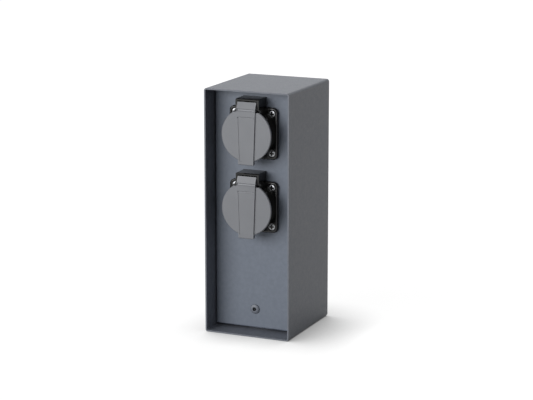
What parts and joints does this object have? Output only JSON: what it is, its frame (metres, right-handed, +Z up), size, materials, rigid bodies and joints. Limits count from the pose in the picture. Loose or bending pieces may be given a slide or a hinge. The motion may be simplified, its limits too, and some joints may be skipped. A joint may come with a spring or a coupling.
{
  "type": "garden socket post",
  "caption": "Open-fronted sheet metal garden post with hinged-lid power sockets on a recessed panel.",
  "frame": {"origin": "centre of the footprint on the ground", "axes": "+Z up, the open front faces -Y, +X to the right seen from the front"},
  "size_m": [0.088, 0.1015, 0.24],
  "materials": {
    "coat": "satin powder coat",
    "panel_coat": "satin powder coat",
    "black_plastic": "glossy",
    "lid_plastic": "satin",
    "seal_rubber": "matte",
    "steel": "zinc plated",
    "dark_screw": "dark zinc",
    "brass": "nickel-free brass",
    "tinned_copper": "tinned",
    "gland_plastic": "matte",
    "live_wire": "matte",
    "neutral_wire": "matte",
    "earth_wire": "green and yellow"
  },
  "bodies": {
    "post": {"bond_strip": "tinned_copper", "earth_nut": "steel", "earth_stud": "steel", "front_panel": "panel_coat", "gland_body": "gland_plastic", "gland_bridge": "steel", "gland_locknut": "gland_plastic", "gland_seal": "seal_rubber", "hook_bracket": "steel", "housing_shell": "coat", "lower_contact_sleeves": "brass", "lower_earth_clip": "brass", "lower_flange_gasket": "seal_rubber", "lower_hinge_pin": "steel", "lower_socket_body": "black_plastic", "panel_screw": "dark_screw", "screw_bracket": "steel", "side_ledges": "steel", "upper_contact_sleeves": "brass", "upper_earth_clip": "brass", "upper_flange_gasket": "seal_rubber", "upper_hinge_pin": "steel", "upper_socket_body": "black_plastic", "weld_nut": "steel", "wire_earth": "earth_wire", "wire_live": "live_wire", "wire_neutral": "neutral_wire"},
    "upper_cover": {"upper_lid": "lid_plastic", "upper_lid_seal": "seal_rubber", "upper_lid_spring": "steel"},
    "lower_cover": {"lower_lid": "lid_plastic", "lower_lid_seal": "seal_rubber", "lower_lid_spring": "steel"}
  },
  "joints": [
    {"name": "lower_lid_hinge", "type": "hinge", "parent": "post", "child": "lower_cover", "pos_m": [0, -0.046, 0.1515], "axis": [-1, 0, 0], "range_deg": [0, 95], "stiffness_Nm_per_rad": 0.02, "springref_deg": -60.16},
    {"name": "upper_lid_hinge", "type": "hinge", "parent": "post", "child": "upper_cover", "pos_m": [0, -0.046, 0.223], "axis": [-1, 0, 0], "range_deg": [0, 95], "stiffness_Nm_per_rad": 0.02, "springref_deg": -60.16}
  ]
}
